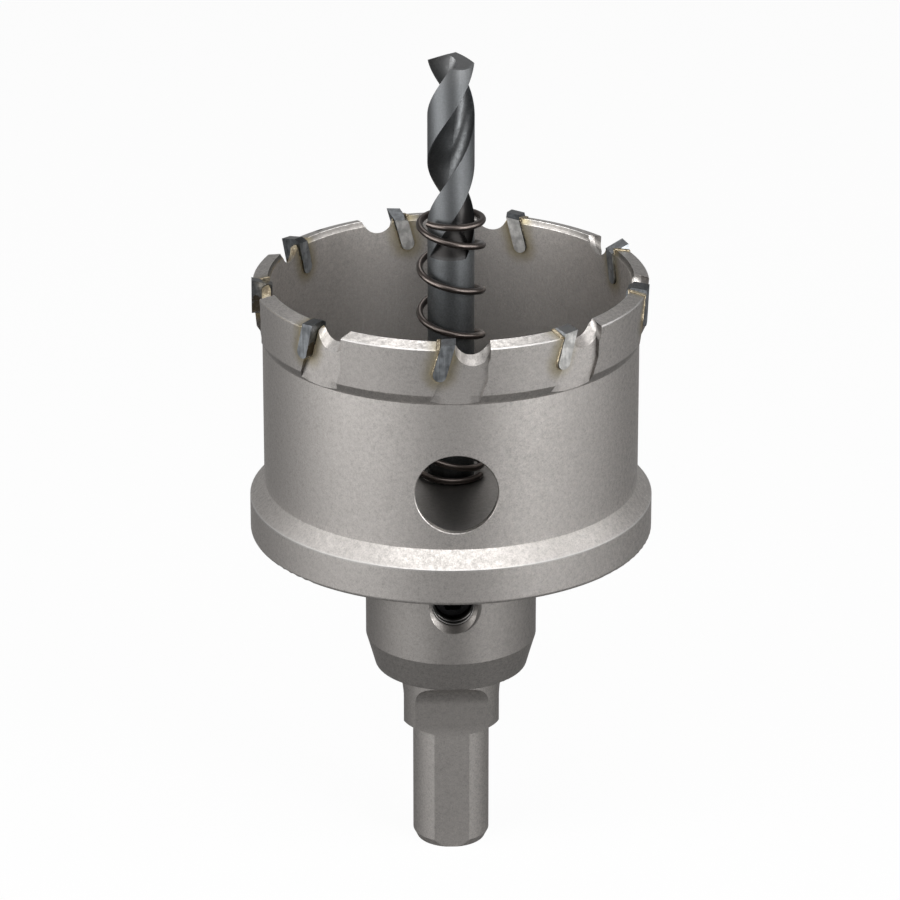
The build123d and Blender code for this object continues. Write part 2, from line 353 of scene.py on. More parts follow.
def range_node(tree, value, zone, start, end, smooth=True):
    """A value that goes from start to end while another crosses a zone."""
    node = tree.nodes.new("ShaderNodeMapRange")
    node.interpolation_type = "SMOOTHSTEP" if smooth else "LINEAR"
    node.inputs["From Min"].default_value = zone[0]
    node.inputs["From Max"].default_value = zone[1]
    node.inputs["To Min"].default_value = start
    node.inputs["To Max"].default_value = end
    tree.links.new(value, node.inputs["Value"])
    return node.outputs["Result"]


def fade_in(tree, value, zone, most=1.0):
    return range_node(tree, value, zone, 0.0, most)


def fade_out(tree, value, zone, most=1.0):
    return range_node(tree, value, zone, most, 0.0)


def mix_node(tree, factor, first, second, blend="MIX"):
    """A colour Mix node."""
    node = tree.nodes.new("ShaderNodeMix")
    node.data_type = "RGBA"
    node.blend_type = blend
    for socket_number, operand in ((0, factor), (6, first), (7, second)):
        feed(tree, node.inputs[socket_number], operand)
    return node.outputs[2]


def coat(tree, tone, color, *masks):
    """Lay a colour over the tone where the masks meet."""
    return mix_node(tree, product(tree, *masks), tone, color)


def place_group(tree, group, place, **values):
    node = tree.nodes.new("ShaderNodeGroup")
    node.node_tree = group
    tree.links.new(place, node.inputs["Vector"])
    for name, value in values.items():
        node.inputs[name].default_value = value
    return node


def turned_place(tree, place):
    """Radius from the axis, and height."""
    node = place_group(tree, TURNED_PLACE, place)
    return node.outputs["Radius"], node.outputs["Height"]


def face_share(tree, place, normal, way):
    """How far a surface faces outward or forward, from -1 to 1."""
    direction = vector_node(tree, "NORMALIZE", vector_node(tree, "MULTIPLY", place, (1, 1, 0)))
    if way == "forward":
        direction = vector_node(tree, "CROSS_PRODUCT", (0, 0, 1), direction)
    return vector_node(tree, "DOT_PRODUCT", normal, direction)


# Effects that several finishes share
def node_group(name, inputs, outputs):
    """An empty shader group with float or vector sockets."""
    group = bpy.data.node_groups.new(name, "ShaderNodeTree")
    kinds = {"float": "NodeSocketFloat", "vector": "NodeSocketVector"}
    for socket_name, kind, default in inputs:
        socket = group.interface.new_socket(
            name=socket_name, in_out="INPUT", socket_type=kinds[kind]
        )
        socket.default_value = default
    for socket_name, kind in outputs:
        group.interface.new_socket(
            name=socket_name, in_out="OUTPUT", socket_type=kinds[kind]
        )
    entry = group.nodes.new("NodeGroupInput")
    leave = group.nodes.new("NodeGroupOutput")
    return group, entry.outputs, leave.inputs


def make_blasted_grain():
    """Fine speckle and pits left by bead blasting, and broad faint clouding."""
    group, entry, leave = node_group(
        "blasted_grain",
        [("Vector", "vector", (0, 0, 0)), ("Speckle", "float", 0.5), ("Cloud", "float", 0.5)],
        [("Tone", "float"), ("Height", "float")],
    )
    fine = noise_node(group, entry["Vector"], FINE_GRAIN, detail=2.0)
    coarse = noise_node(group, entry["Vector"], COARSE_GRAIN)
    cloud = noise_node(group, entry["Vector"], CLOUDING, roughness=0.5)
    speckle = math_node(group, "SUBTRACT", math_node(group, "ADD", fine, coarse), 1.0)
    cloud = math_node(group, "SUBTRACT", cloud, 0.5)
    tone = sum_of_products(group, speckle, entry["Speckle"], cloud, entry["Cloud"])
    group.links.new(math_node(group, "ADD", tone, 1.0), leave["Tone"])
    group.links.new(math_node(group, "MULTIPLY_ADD", fine, 0.6, coarse), leave["Height"])
    return group


def make_tip_distance():
    """Distance in metres from the outline of the tip at one azimuth, along the wall."""
    group, entry, leave = node_group(
        "tip_distance",
        [("Vector", "vector", (0, 0, 0)), ("Azimuth", "float", 0.0)],
        [("Distance", "float")],
    )
    x, y, z = axes(group, entry["Vector"])
    turn = math_node(group, "RADIANS", entry["Azimuth"])
    sine = math_node(group, "SINE", turn)
    cosine = math_node(group, "COSINE", turn)
    along = sum_of_products(group, x, cosine, y, sine)
    out = sum_of_products(group, x, sine, product(group, y, -1.0), cosine)

    # Straight sides above the round foot, in the lean of the tip
    along = math_node(group, "SUBTRACT", along, FOOT_OFFSET)
    up = math_node(group, "SUBTRACT", z, FOOT_HEIGHT)
    across = sum_of_products(group, along, cos(TIP_LEAN), up, -sin(TIP_LEAN))
    down = sum_of_products(group, along, sin(TIP_LEAN), up, cos(TIP_LEAN))
    down = math_node(group, "MINIMUM", down, 0.0)
    reach = math_node(group, "SUBTRACT", diagonal(group, across, down), TIP_RADIUS)

    # A metre more on the far side of the axis keeps the tip's mirror image away
    behind = math_node(group, "LESS_THAN", out, 0.0)
    group.links.new(math_node(group, "ADD", reach, behind), leave["Distance"])
    return group


def make_turned_place():
    """Radius from the axis and height of each point, to place rings on turned steel."""
    group, entry, leave = node_group(
        "turned_place",
        [("Vector", "vector", (0, 0, 0))],
        [("Radius", "float"), ("Height", "float")],
    )
    x, y, z = axes(group, entry["Vector"])
    group.links.new(diagonal(group, x, y), leave["Radius"])
    group.links.new(z, leave["Height"])
    return group


def make_ring_wear():
    """Mask of a thin rubbed line along a turned edge of a given radius and height."""
    group, entry, leave = node_group(
        "ring_wear",
        [
            ("Vector", "vector", (0, 0, 0)),
            ("Radius", "float", 0.0),
            ("Height", "float", 0.0),
            ("Reach", "float", 0.2 * MM),
        ],
        [("Mask", "float")],
    )
    radius, height = turned_place(group, entry["Vector"])
    beside = math_node(group, "SUBTRACT", radius, entry["Radius"])
    above = math_node(group, "SUBTRACT", height, entry["Height"])
    patchy = noise_node(group, entry["Vector"], RUBBED_PATCHES)
    patchy = math_node(group, "MULTIPLY_ADD", patchy, 1.2, 0.4)
    share = math_node(group, "DIVIDE", diagonal(group, beside, above), entry["Reach"])
    group.links.new(fade_out(group, product(group, share, patchy), (0.2, 1.0)), leave["Mask"])
    return group


GRAIN = make_blasted_grain()
TIP_DISTANCE = make_tip_distance()
TURNED_PLACE = make_turned_place()
RING_WEAR = make_ring_wear()


# Finishes
Finish = namedtuple("Finish", "material tree shader place normal grain")


def new_material(name, metallic, roughness, base):
    material = bpy.data.materials.new(name)
    material.use_nodes = True
    tree = material.node_tree
    shader = tree.nodes["Principled BSDF"]
    shader.inputs["Metallic"].default_value = metallic
    shader.inputs["Roughness"].default_value = roughness
    shader.inputs["Base Color"].default_value = base
    coordinates = tree.nodes.new("ShaderNodeTexCoord")
    return material, tree, shader, coordinates.outputs


def begin_finish(name, color, roughness, speckle, cloud):
    """A bare metal with grain, before its tone and roughness are set."""
    material, tree, shader, coordinates = new_material(name, 1.0, roughness, color)
    place = coordinates["Object"]
    grain = place_group(tree, GRAIN, place, Speckle=speckle, Cloud=cloud)
    return Finish(material, tree, shader, place, coordinates["Normal"], grain.outputs)


def grainy_tone(finish, color):
    return mix_node(finish.tree, 1.0, color, finish.grain["Tone"], "MULTIPLY")


def grainy_roughness(finish, spread, dark, pale):
    """Roughness of the grain's dark and pale specks; spread is their distance from 1."""
    zone = (1.0 - spread, 1.0 + spread)
    return range_node(finish.tree, finish.grain["Tone"], zone, dark, pale)


def end_finish(finish, tone, rough, relief, strength, depth):
    """Send the tone, the roughness and the relief to the shader."""
    bump = finish.tree.nodes.new("ShaderNodeBump")
    bump.inputs["Strength"].default_value = strength
    bump.inputs["Distance"].default_value = depth
    feed(finish.tree, bump.inputs["Height"], relief)
    feed(finish.tree, finish.shader.inputs["Normal"], bump.outputs["Normal"])
    feed(finish.tree, finish.shader.inputs["Base Color"], tone)
    feed(finish.tree, finish.shader.inputs["Roughness"], rough)
    return finish.material


# What the finishes of the steel body read at a point: its place and the way it faces
Spot = namedtuple("Spot", "tree place x y height radius forward_share up_share land front")


def body_spot(finish):
    tree = finish.tree
    x, y, _ = axes(tree, finish.place)
    radius, height = turned_place(tree, finish.place)
    return Spot(
        tree=tree,
        place=finish.place,
        x=x,
        y=y,
        height=height,
        radius=radius,
        forward_share=face_share(tree, finish.place, finish.normal, "forward"),
        up_share=axes(tree, finish.normal)["Z"],
        land=fade_in(tree, height, LAND_BOTTOM),
        front=math_node(tree, "LESS_THAN", y, 0.0),
    )


def shade_cup(tone, spot):
    """Painted light on the inside wall of the cup, fading out upward, and painted shade toward
    its floor.
    """
    tree = spot.tree
    bore = math_node(tree, "LESS_THAN", spot.radius, BORE_RADIUS + BORE_MARGIN)
    inside = product(tree, bore, math_node(tree, "GREATER_THAN", spot.height, FLANGE_TOP))
    cup_light = fade_out(tree, spot.height, CUP_LIGHT_TOP, CUP_LIGHT_SHARE)
    tone = coat(tree, tone, CUP_LIGHT_COLOR, inside, cup_light)
    low = fade_out(tree, spot.height, CUP_SHADE_TOP, SHADE_SHARE)
    return coat(tree, tone, SHADE_COLOR, inside, low)


def shade_under_overhangs(tone, spot):
    """Painted shade under the flange, on the boss and the collar, and on the band's underside.
    """
    tree = spot.tree
    boss = fade_out(tree, spot.height, BOSS_SHADE_TOP)
    boss = product(tree, boss, fade_in(tree, spot.height, BOSS_SHADE_BOTTOM))
    underside = product(
        tree,
        fade_in(tree, spot.height, UNDERSIDE_BOTTOM),
        fade_out(tree, spot.height, UNDERSIDE_TOP),
        fade_in(tree, spot.radius, BAND_START),
    )
    overhang_shade = math_node(tree, "ADD", boss, underside)
    return coat(tree, tone, DEEP_SHADE_COLOR, overhang_shade, OVERHANG_SHADE_SHARE)


def shade_inner_bevel(tone, spot):
    """Painted shade on the inner bevel of the rim: darker than the lands, less so at its lower
    edge.
    """
    tree = spot.tree
    return coat(
        tree,
        tone,
        BEVEL_SHADE_COLOR,
        range_node(tree, spot.height, INNER_BEVEL_MIDDLE, *BEVEL_SHARES),
        math_node(tree, "GREATER_THAN", spot.height, INNER_BEVEL_BOTTOM),
        math_node(tree, "GREATER_THAN", spot.radius, BORE_RADIUS + BEVEL_MARGIN),
        math_node(tree, "LESS_THAN", spot.radius, RIDGE_RADIUS - BEVEL_MARGIN),
    )


def shade_flute_walls(tone, spot):
    """Painted shade on the side walls of the chip flutes."""
    tree = spot.tree
    wall = fade_in(tree, math_node(tree, "ABSOLUTE", spot.forward_share), FLUTE_WALL_TURN)
    above = fade_in(tree, spot.height, FLUTE_BOTTOM)
    band = fade_in(tree, spot.radius, BAND_START)
    return coat(tree, tone, FLUTE_AND_SINK_SHADE_COLOR, wall, above, band, FLUTE_WALL_SHADE_SHARE)


def shade_screw_hole(tone, spot):
    """Painted shade in the tapped hole, and on its countersink, darker toward the right."""
    tree = spot.tree
    reach = diagonal(tree, spot.x, math_node(tree, "SUBTRACT", spot.height, SCREW_HEIGHT))
    hole_shade = fade_out(tree, reach, HOLE_SHADE_EDGE)
    tone = coat(tree, tone, HOLE_SHADE_COLOR, hole_shade, spot.front, fade_in(tree, spot.y, HOLE_SHADE_FRONT))
    return coat(
        tree,
        tone,
        FLUTE_AND_SINK_SHADE_COLOR,
        fade_out(tree, reach, COUNTERSINK_EDGE),
        spot.front,
        fade_in(tree, spot.y, COUNTERSINK_FRONT),
        fade_in(tree, spot.x, COUNTERSINK_SHADE, COUNTERSINK_SHARE),
    )


def shade_window_edge(tone, spot):
    """Painted shade on the edge of the window, so that it is bright only at its left."""
    tree = spot.tree
    reach = diagonal(tree, spot.x, math_node(tree, "SUBTRACT", spot.height, WINDOW_HEIGHT))
    shade = range_node(tree, spot.x, WINDOW_SHADE, *WINDOW_EDGE_SHARES)
    return coat(tree, tone, DEEP_SHADE_COLOR, fade_out(tree, reach, WINDOW_EDGE), spot.front, shade)


def tip_nearness(spot):
    """Distance in metres from the nearest of the nine tips, with a ragged edge."""
    tree = spot.tree
    nearest = None
    for azimuth in TIP_AZIMUTHS:
        tip = place_group(tree, TIP_DISTANCE, spot.place, Azimuth=azimuth)
        distance = tip.outputs["Distance"]
        nearest = distance if nearest is None else math_node(tree, "MINIMUM", nearest, distance)
    ragged = noise_node(tree, spot.place, RAGGED_PATCHES)
    ragged = math_node(tree, "MULTIPLY_ADD", ragged, RAGGED_EDGE, -RAGGED_EDGE / 2)
    return math_node(tree, "ADD", nearest, ragged)


def stain_rim(tone, spot):
    """Heat tint and flux round the tips; the tone, and where it is a crust on the steel."""
    tree = spot.tree
    gullet = math_node(tree, "SUBTRACT", 1.0, spot.land)
    gullet = product(tree, gullet, fade_in(tree, spot.height, GULLET_BOTTOM))
    left = fade_out(tree, spot.x, LEFT_SIDE)
    speckle = noise_node(tree, spot.place, GULLET_SPECKLE)
    speckle = range_node(tree, speckle, SPECKLE_CUT, *SPECKLE_SHARES)

    # Tan scale on the floors of the gullets at the left
    floor = fade_in(tree, spot.up_share, GULLET_FLOOR_TURN)
    tone = coat(tree, tone, TAN_SCALE_COLOR, floor, gullet, left, speckle)

    nearest = tip_nearness(spot)
    tone = coat(tree, tone, HEAT_TINT_COLOR, fade_out(tree, nearest, TINT_REACH, TINT_SHARE))
    flux = fade_out(tree, nearest, FLUX_REACH, FLUX_SHARE)
    tone = coat(tree, tone, FLUX_COLOR, flux)

    # The gullet walls beside the tips: brown with flux at the left, bare elsewhere
    wall = product(tree, fade_in(tree, spot.forward_share, GULLET_WALL_TURN), gullet)
    brown = product(tree, wall, left, speckle)
    bare = product(tree, wall, math_node(tree, "SUBTRACT", BARE_WALL_SHARE, left))
    tone = coat(tree, tone, STEEL_COLOR, math_node(tree, "MAXIMUM", bare, 0.0))
    tone = coat(tree, tone, BROWN_FLUX_COLOR, brown)
    flux_crust = product(tree, flux, FLUX_CRUST)
    brown_crust = product(tree, brown, BROWN_CRUST)
    return tone, math_node(tree, "MAXIMUM", flux_crust, brown_crust)


def spot_mask(tree, place, centre, size):
    """Mask of a small mark: 1 at its centre, 0 outside an ellipsoid of the given size."""
    share = vector_node(tree, "DIVIDE", vector_node(tree, "SUBTRACT", place, centre), size)
    return fade_out(tree, vector_node(tree, "LENGTH", share), (0.6, 1.0))


def blasted_steel():
    """Bead-blasted steel with rubbed edges and heat tint round the tips; painted light and shade
    in the cup, and painted shade under overhangs, in hollows and on some edges.
    """
    finish = begin_finish("blasted_steel", STEEL_COLOR, 0.45, speckle=1.0, cloud=0.35)
    tree = finish.tree
    spot = body_spot(finish)
    tone = grainy_tone(finish, STEEL_COLOR)
    for radius, height, reach in WORN_EDGES:
        ring = place_group(
            tree, RING_WEAR, finish.place, Radius=radius, Height=height, Reach=reach
        )
        tone = coat(tree, tone, WORN_COLOR, ring.outputs["Mask"], WORN_SHARE)
    tone = shade_cup(tone, spot)
    tone = shade_under_overhangs(tone, spot)
    tone = shade_inner_bevel(tone, spot)
    tone = shade_flute_walls(tone, spot)
    tone = shade_screw_hole(tone, spot)
    tone = shade_window_edge(tone, spot)
    tone, crust = stain_rim(tone, spot)
    # Painted shade in the nick, which is also no metal
    nick = spot_mask(tree, finish.place, NICK_PLACE, NICK_SIZE)
    tone = coat(tree, tone, NICK_SHADE_COLOR, nick)
    crust = math_node(tree, "MAXIMUM", nick, crust)
    feed(tree, finish.shader.inputs["Metallic"], math_node(tree, "SUBTRACT", 1.0, crust))

    # The ground lands are smoother than the blasted wall, and the crust and the nick's painted
    # shade are rougher
    rough = grainy_roughness(finish, 0.3, 0.50, 0.40)
    rough = math_node(tree, "SUBTRACT", rough, product(tree, spot.land, LAND_SMOOTHING))
    rough = math_node(tree, "MAXIMUM", rough, crust)
    relief = math_node(tree, "MULTIPLY_ADD", nick, NICK_RELIEF, finish.grain["Height"])
    return end_finish(finish, tone, rough, relief, 0.3, 0.02 * MM)


def ground_carbide(name, side_color, streaks, top_shade):
    """Sintered carbide: painted shade on the tops, streaks down the faces, and sides of one
    colour, which on some tips is a painted highlight.
    """
    finish = begin_finish(name, CARBIDE_COLOR, 0.3, speckle=0.4, cloud=0.8)
    tree, place, normal = finish.tree, finish.place, finish.normal
    outward_share = face_share(tree, place, normal, "outward")
    side = fade_in(tree, math_node(tree, "ABSOLUTE", outward_share), TIP_SIDE_TURN)
    tone = grainy_tone(finish, mix_node(tree, side, CARBIDE_COLOR, side_color))
    rough = range_node(tree, side, (0.0, 1.0), 0.28, 0.42)

    # Grinding streaks down the faces
    stretched = vector_node(tree, "MULTIPLY", place, (1, 1, 0.08))
    streak = noise_node(tree, stretched, GRINDING_STREAKS)
    pale_streak = range_node(tree, streak, STREAK_CUT, 1 - streaks, 1 + streaks, smooth=False)
    tone = mix_node(tree, 1.0, tone, pale_streak, "MULTIPLY")

    # Cloudy scale
    cloud = noise_node(tree, place, CARBIDE_CLOUDING, detail=2.0, roughness=0.5)
    cloud = range_node(tree, cloud, CLOUD_CUT, *CLOUD_TONES)
    tone = mix_node(tree, 1.0, tone, cloud, "MULTIPLY")

    # Painted shade on the tops
    top = fade_in(tree, axes(tree, normal)["Z"], TIP_TOP_TURN)
    tone = coat(tree, tone, TOP_SHADE_COLOR, top, top_shade)

    # Braze that ran down the cutting faces
    cutting = fade_in(tree, face_share(tree, place, normal, "forward"), CUTTING_FACE_TURN)
    low = range_node(tree, axes(tree, place)["Z"], RUN_BRAZE_TOP, *RUN_BRAZE_GAINS)
    blotch = math_node(tree, "ADD", noise_node(tree, place, RUN_BRAZE_PATCHES), low)
    blotch = fade_in(tree, blotch, RUN_BRAZE_CUT, RUN_BRAZE_SHARE)
    tone = coat(tree, tone, RUN_BRAZE_COLOR, blotch, cutting)

    relief = math_node(tree, "ADD", finish.grain["Height"], streak)
    return end_finish(finish, tone, rough, relief, 0.12, 0.01 * MM)


def braze_alloy():
    """Silver solder: tan to gold, with dark flux left in its hollows."""
    finish = begin_finish("braze_alloy", BRAZE_COLOR, 0.4, speckle=0.8, cloud=1.2)
    tree = finish.tree
    flux = fade_in(tree, noise_node(tree, finish.place, BRAZE_PATCHES), BRAZE_FLUX_CUT)
    tone = coat(tree, grainy_tone(finish, BRAZE_COLOR), BRAZE_FLUX_COLOR, flux, BRAZE_FLUX_SHARE)
    rough = range_node(tree, flux, (0.0, 1.0), 0.36, 0.6)
    return end_finish(finish, tone, rough, finish.grain["Height"], 0.4, 0.02 * MM)


def oxide_steel():
    """Steam-oxidised drill steel: blue-grey, its lands rubbed lighter, with painted shade in its
    flutes, deeper lower down, and on the upward ends of the flutes.
    """
    finish = begin_finish("oxide_steel", OXIDE_COLOR, 0.42, speckle=0.9, cloud=0.8)
    tree = finish.tree
    radius, height = turned_place(tree, finish.place)
    tone = grainy_tone(finish, OXIDE_COLOR)

    lands = fade_in(tree, radius, DRILL_LANDS)
    upper = fade_in(tree, height, RUBBED_LANDS_BOTTOM)
    tone = coat(tree, tone, RUBBED_OXIDE_COLOR, lands, upper, RUBBED_OXIDE_SHARE)

    # Painted shade in the flutes, deeper lower down
    hollow = fade_out(tree, radius, DRILL_FLUTES, DRILL_FLUTE_SHADE_SHARE)
    lower = range_node(tree, height, DARK_FLUTES_TOP, *DARK_FLUTE_GAINS)
    tone = coat(tree, tone, DRILL_FLUTE_SHADE_COLOR, hollow, lower)

    # Painted shade on the upward-facing ends of the flutes
    flute_end = fade_in(tree, axes(tree, finish.normal)["Z"], FLUTE_END_TURN, FLUTE_END_SHARE)
    below = fade_out(tree, height, FLUTE_ENDS_TOP)
    tone = coat(tree, tone, FLUTE_END_SHADE_COLOR, flute_end, below)

    point = fade_in(tree, height, DRILL_POINT_BOTTOM, DRILL_POINT_SHARE)
    tone = coat(tree, tone, DRILL_POINT_COLOR, point)
    rough = grainy_roughness(finish, 0.3, 0.50, 0.40)
    return end_finish(finish, tone, rough, finish.grain["Height"], 0.2, 0.01 * MM)


def spring_wire():
    """Oil-blackened drawn wire with a brown cast."""
    finish = begin_finish("spring_wire", WIRE_COLOR, 0.33, speckle=0.25, cloud=1.0)
    tone = grainy_tone(finish, WIRE_COLOR)
    rough = grainy_roughness(finish, 0.4, 0.38, 0.28)
    return end_finish(finish, tone, rough, finish.grain["Height"], 0.06, 0.01 * MM)


def black_oxide(name, color):
    """Black oxide on the set screw, or the oil and swarf on its thread."""
    finish = begin_finish(name, color, 0.4, speckle=0.6, cloud=0.8)
    tone = grainy_tone(finish, color)
    rough = grainy_roughness(finish, 0.4, 0.48, 0.32)
    return end_finish(finish, tone, rough, finish.grain["Height"], 0.2, 0.01 * MM)


# Pieces that the solids leave out
def begin_edit():
    """Edit the active object, with all of it selected."""
    bpy.ops.object.mode_set(mode="EDIT")
    bpy.ops.mesh.select_all(action="SELECT")


def end_edit():
    bpy.ops.object.mode_set(mode="OBJECT")


def select_all():
    bpy.ops.mesh.select_all(action="SELECT")


def select_faces(piece, test):
    """Select the faces whose centre and normal pass the test."""
    bpy.ops.mesh.select_mode(type="FACE")
    bpy.ops.mesh.select_all(action="DESELECT")
    mesh = bmesh.from_edit_mesh(piece.data)
    mesh.normal_update()
    for face in mesh.faces:
        if test(face.calc_center_median(), face.normal):
            face.select_set(True)
    mesh.select_flush_mode()
    bmesh.update_edit_mesh(piece.data)


def select_edges(piece, test):
    """Select the edges whose middle, and way from end to end, pass the test."""
    bpy.ops.mesh.select_mode(type="EDGE")
    bpy.ops.mesh.select_all(action="DESELECT")
    mesh = bmesh.from_edit_mesh(piece.data)
    for edge in mesh.edges:
        start, end = (vertex.co for vertex in edge.verts)
        if test((start + end) / 2, end - start):
            edge.select_set(True)
    mesh.select_flush_mode()
    bmesh.update_edit_mesh(piece.data)


def apply_modifier(piece, kind, **settings):
    modifier = piece.modifiers.new(kind.lower(), kind)
    for name, value in settings.items():
        setattr(modifier, name, value)
    bpy.ops.object.modifier_apply(modifier=modifier.name)


def clear_beyond(point, normal):
    """Cut the selected faces by a plane and take away what lies beyond it."""
    bpy.ops.mesh.bisect(plane_co=point, plane_no=normal, clear_outer=True, clear_inner=False)


def shape_braze_wall():
    """A thin wall round the foot of the first tip, open at both ends and at the top."""
    bpy.ops.object.select_all(action="DESELECT")
    bpy.ops.mesh.primitive_cube_add(size=1, location=(0, 0, 0))
    braze = bpy.context.active_object
    braze.name = "braze_1"
    begin_edit()
    bpy.ops.transform.resize(
        value=(2 * SLOT_RADIUS, BRAZE_OUTSIDE - BRAZE_INSIDE, BRAZE_LEG + SLOT_RADIUS)
    )
    bpy.ops.transform.translate(
        value=(0, -(BRAZE_INSIDE + BRAZE_OUTSIDE) / 2, (BRAZE_LEG - SLOT_RADIUS) / 2)
    )

    # Round the foot; a bevel of the full radius would fold over itself
    foot = -SLOT_RADIUS * 0.9
    select_edges(braze, lambda middle, way: middle.z < foot and abs(way.y) > MM)
    bpy.ops.mesh.bevel(offset=SLOT_RADIUS * 0.998, segments=8, affect="EDGES")
    select_faces(braze, lambda centre, normal: abs(normal.y) > 0.9 or normal.z > 0.9)
    bpy.ops.mesh.delete(type="FACE")

    # Lean it as the slot leans, and set it on the foot of the tip
    select_all()
    bpy.ops.transform.rotate(value=-TIP_LEAN, orient_axis="Y", center_override=(0, 0, 0))
    bpy.ops.transform.translate(value=(FOOT_OFFSET, 0, FOOT_HEIGHT))
    return braze


def trim_braze(braze):
    """Cut the wall to the conical outside, the land, the gullet and the chip flute."""
    cone = (RIM_RADIUS - BAND_RADIUS) / (RIM_HEIGHT - BAND_BOTTOM)
    select_all()
    clear_beyond((0, -RIM_RADIUS + BRAZE_TUCK - BRAZE_PROUD, RIM_HEIGHT), (0, -1, -cone))
    slope = (LAND_TOP - RIM_HEIGHT) / (RIM_RADIUS - RIDGE_RADIUS)
    select_all()
    clear_beyond((0, -RIM_RADIUS, RIM_HEIGHT + BRAZE_OVER_LAND), (0, -slope, 1))

    slot_side = FOOT_OFFSET + 0.1 * MM
    select_faces(braze, lambda centre, normal: centre.x > slot_side)
    clear_beyond((0, -FLUTE_RADIUS, GULLET_HEIGHT + BRAZE_PROUD), (0, -tan(GULLET_SLOPE), 1))

    # The chip flute starts at a leaning plane through the cutting edge
    lean = tan(FLUTE_LEAN)
    select_all()
    bpy.ops.mesh.bisect(
        plane_co=(0, 0, CUTTING_HEIGHT), plane_no=(1, 0, -lean), clear_outer=False
    )
    select_faces(braze, lambda centre, normal: centre.x > (centre.z - CUTTING_HEIGHT) * lean)
    clear_beyond((0, -FLUTE_RADIUS - BRAZE_PROUD, 0), (0, -1, 0))


def run_over_land(braze):
    """Run the braze out over the land behind the tip."""
    top = LAND_TOP - 0.5 * MM
    behind = FOOT_OFFSET + MM
    select_edges(
        braze,
        lambda middle, way: middle.z > top and abs(way.y) > 0.2 * MM and middle.x < behind,
    )
    bpy.ops.mesh.extrude_region_move(
        TRANSFORM_OT_translate={"value": (-FLAP_REACH, 0, -FLAP_DROP)}
    )
    bpy.ops.mesh.select_mode(type="VERT")
    select_all()
    bpy.ops.mesh.remove_doubles(threshold=0.01 * MM)
    bpy.ops.mesh.quads_convert_to_tris()
    bpy.ops.mesh.normals_make_consistent(inside=False)


def model_braze():
    """The braze round the first tip: a lumpy skin in the gap of its slot."""
    braze = shape_braze_wall()
    trim_braze(braze)
    run_over_land(braze)
    end_edit()
    apply_modifier(braze, "SOLIDIFY", thickness=BRAZE_THICKNESS, offset=0)
    apply_modifier(
        braze, "REMESH", mode="VOXEL", voxel_size=BRAZE_VOXEL, use_smooth_shade=True
    )
    apply_modifier(braze, "SMOOTH", factor=0.5, iterations=3)
    lumps = bpy.data.textures.new("braze_lumps", "CLOUDS")
    lumps.noise_scale = LUMP_SIZE
    apply_modifier(
        braze,
        "DISPLACE",
        texture=lumps,
        texture_coords="LOCAL",
        strength=LUMP_HEIGHT,
        mid_level=0.5,
    )
    return braze


def place_copies(piece, azimuths, stem):
    """Copy a piece modelled at the front to every azimuth, each copy with its own mesh."""
    copies = []
    for number, azimuth in enumerate(azimuths, 1):
        twin = piece.copy()
        twin.data = piece.data.copy()
        twin.name = f"{stem}_{number}"
        bpy.context.scene.collection.objects.link(twin)
        bpy.ops.object.select_all(action="DESELECT")
        twin.select_set(True)
        bpy.context.view_layer.objects.active = twin
        twin.rotation_euler.z = radians(azimuth)
        bpy.ops.object.transform_apply(location=True, rotation=True, scale=True)
        copies.append(twin)
    bpy.data.objects.remove(piece)
    return copies


def model_thread():
    """The ridges of the set screw's thread, in the hole in front of the screw."""
    start = (0, THREAD_START, SCREW_HEIGHT)
    bpy.ops.object.select_all(action="DESELECT")
    bpy.ops.mesh.primitive_circle_add(
        vertices=3, radius=RIDGE_HEIGHT, fill_type="NOTHING", location=start
    )
    thread = bpy.context.active_object
    thread.name = "screw_thread"

    # Stand the ridge's section up with its point toward the screw's axis
    begin_edit()
    bpy.ops.transform.rotate(value=radians(90), orient_axis="Y", center_override=start)
    bpy.ops.transform.rotate(value=radians(90), orient_axis="X", center_override=start)
    bpy.ops.transform.translate(value=(0, 0, SCREW_HOLE_RADIUS))
    end_edit()
    apply_modifier(
        thread,
        "SCREW",
        axis="Y",
        angle=radians(360 * THREAD_TURNS),
        screw_offset=THREAD_PITCH * THREAD_TURNS,
        steps=THREAD_STEPS * THREAD_TURNS,
        render_steps=THREAD_STEPS * THREAD_TURNS,
    )
    begin_edit()
    bpy.ops.mesh.normals_make_consistent(inside=False)
    end_edit()
    bpy.ops.object.transform_apply(location=True, rotation=True, scale=True)
    return thread


# Finishes on the solids, and the new pieces
def dress(piece, material):
    piece.data.materials.clear()
    piece.data.materials.append(material)


def dress_solids():
    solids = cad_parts
    dress(solids["saw_body"], blasted_steel())
    # Tips 2, 5 and 6 get copies with a painted highlight on their sides
    carbides = {
        "dark_carbide": ground_carbide("dark_carbide", CARBIDE_COLOR, 0.35, 0.7),
        "lit_carbide": ground_carbide("lit_carbide", LIT_CARBIDE_COLOR, 0.12, 0.95),
        "lit_carbide_pale_top": ground_carbide("lit_carbide_pale_top", LIT_CARBIDE_COLOR, 0.12, 0.35),
    }
    for number in range(1, len(TIP_AZIMUTHS) + 1):
        finish = LIT_TIPS.get(number, "dark_carbide")
        dress(solids[f"carbide_tip_{number}"], carbides[finish])
    dress(solids["pilot_drill"], oxide_steel())
    dress(solids["ejector_spring"], spring_wire())
    dress(solids["set_screw"], black_oxide("black_oxide", SCREW_COLOR))


def add_piece(piece, material):
    dress(piece, material)
    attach(piece, "root")


def add_pieces():
    alloy = braze_alloy()
    for piece in place_copies(model_braze(), TIP_AZIMUTHS, "braze"):
        add_piece(piece, alloy)
    thread_finish = black_oxide("oiled_thread", OILED_THREAD_COLOR)
    add_piece(model_thread(), thread_finish)


